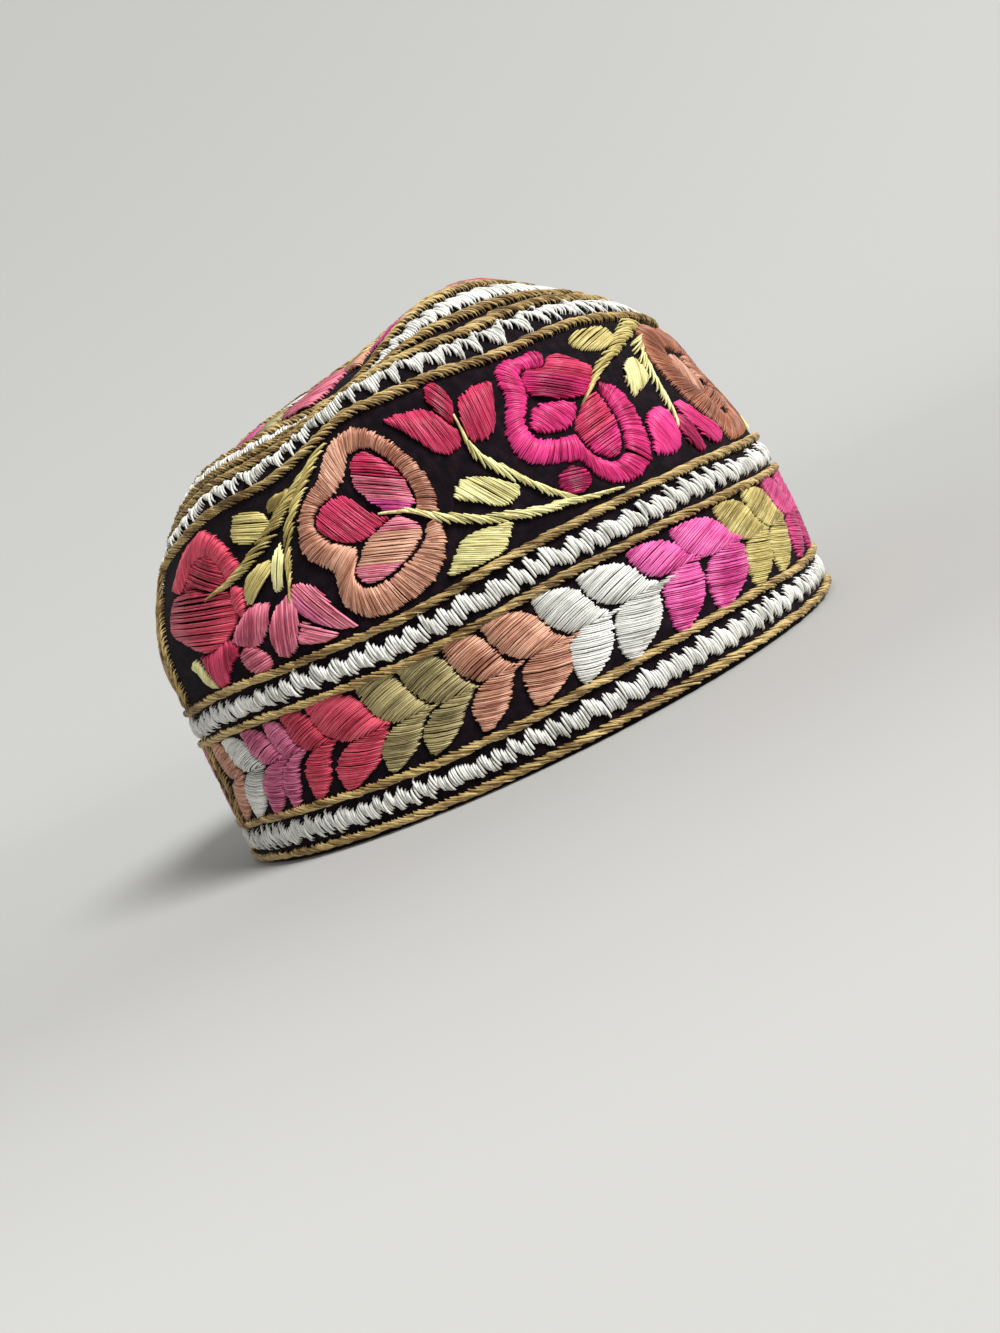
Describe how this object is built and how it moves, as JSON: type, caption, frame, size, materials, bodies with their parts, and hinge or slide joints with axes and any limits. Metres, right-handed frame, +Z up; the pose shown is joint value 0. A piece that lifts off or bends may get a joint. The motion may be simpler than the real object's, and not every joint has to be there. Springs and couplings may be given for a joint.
{
  "type": "embroidered skullcap",
  "caption": "Stiff round-topped cloth skullcap whose black wall carries a leaf frieze and a wide flower frieze in satin stitch, bordered by gold cords and white zigzag bands.",
  "frame": {"origin": "middle of the flat plane of the rim, which the cap rests on", "axes": "+Z up from the rim to the crown, -Y towards the wearer's forehead, -X towards the wearer's right ear"},
  "size_m": [0.1722, 0.1984, 0.1272],
  "materials": {
    "black_cotton": "matt woven cotton",
    "gold_cord": "lustrous twisted silk in slanting stem stitches",
    "white_silk": "glossy floss silk in zigzag satin stitches",
    "coral_silk": "glossy floss silk in satin stitches with the strands showing",
    "crimson_silk": "glossy floss silk in satin stitches with the strands showing",
    "rose_silk": "glossy floss silk in satin stitches with the strands showing",
    "magenta_silk": "glossy floss silk in satin stitches with the strands showing",
    "purple_silk": "glossy floss silk in satin stitches with the strands showing",
    "pink_silk": "glossy floss silk in satin stitches with the strands showing",
    "yellow_silk": "glossy floss silk in satin stitches with the strands showing",
    "olive_silk": "glossy floss silk in satin stitches with the strands showing"
  },
  "bodies": {
    "root": {"leaf_band": "black_cotton", "flower_band": "black_cotton", "crown_disc": "black_cotton", "rim_cord_low": "gold_cord", "rim_zigzag_band": "white_silk", "rim_cord_high": "gold_cord", "mid_cord_low": "gold_cord", "mid_zigzag_band": "white_silk", "mid_cord_high": "gold_cord", "shoulder_cord_low": "gold_cord", "shoulder_zigzag_band": "white_silk", "shoulder_cord_high": "gold_cord", "crown_cord_low": "gold_cord", "crown_zigzag_band": "white_silk", "crown_cord_high": "gold_cord", "leaf_seam_cord_rear": "gold_cord", "leaf_seam_cord_fore": "gold_cord", "flower_seam_cord_rear": "gold_cord", "flower_seam_cord_fore": "gold_cord", "leaf_spray_01": "coral_silk", "leaf_spray_02": "white_silk", "leaf_spray_03": "purple_silk", "leaf_spray_04": "crimson_silk", "leaf_spray_05": "olive_silk", "leaf_spray_06": "coral_silk", "leaf_spray_07": "white_silk", "leaf_spray_08": "magenta_silk", "leaf_spray_09": "yellow_silk", "leaf_spray_10": "purple_silk", "leaf_spray_11": "crimson_silk", "leaf_spray_12": "olive_silk", "leaf_spray_13": "coral_silk", "leaf_spray_14": "white_silk", "leaf_spray_15": "magenta_silk", "leaf_spray_16": "yellow_silk", "leaf_spray_17": "purple_silk", "leaf_spray_18": "crimson_silk", "leaf_spray_19": "olive_silk", "leaf_spray_20": "coral_silk", "leaf_spray_21": "white_silk", "leaf_spray_22": "magenta_silk", "red_rose_right": "crimson_silk", "pink_petals_right": "pink_silk", "coral_flower_right": "coral_silk", "rose_bud_right": "rose_silk", "long_leaf_right": "yellow_silk", "magenta_rose_right": "magenta_silk", "magenta_petals_right": "magenta_silk", "copper_flower_right": "coral_silk", "tan_flower_right": "coral_silk", "red_rose_left": "magenta_silk", "pink_petals_left": "rose_silk", "coral_flower_left": "pink_silk", "rose_bud_left": "crimson_silk", "long_leaf_left": "olive_silk", "magenta_rose_left": "coral_silk", "magenta_petals_left": "crimson_silk", "copper_flower_left": "purple_silk", "tan_flower_left": "yellow_silk"}
  },
  "joints": []
}
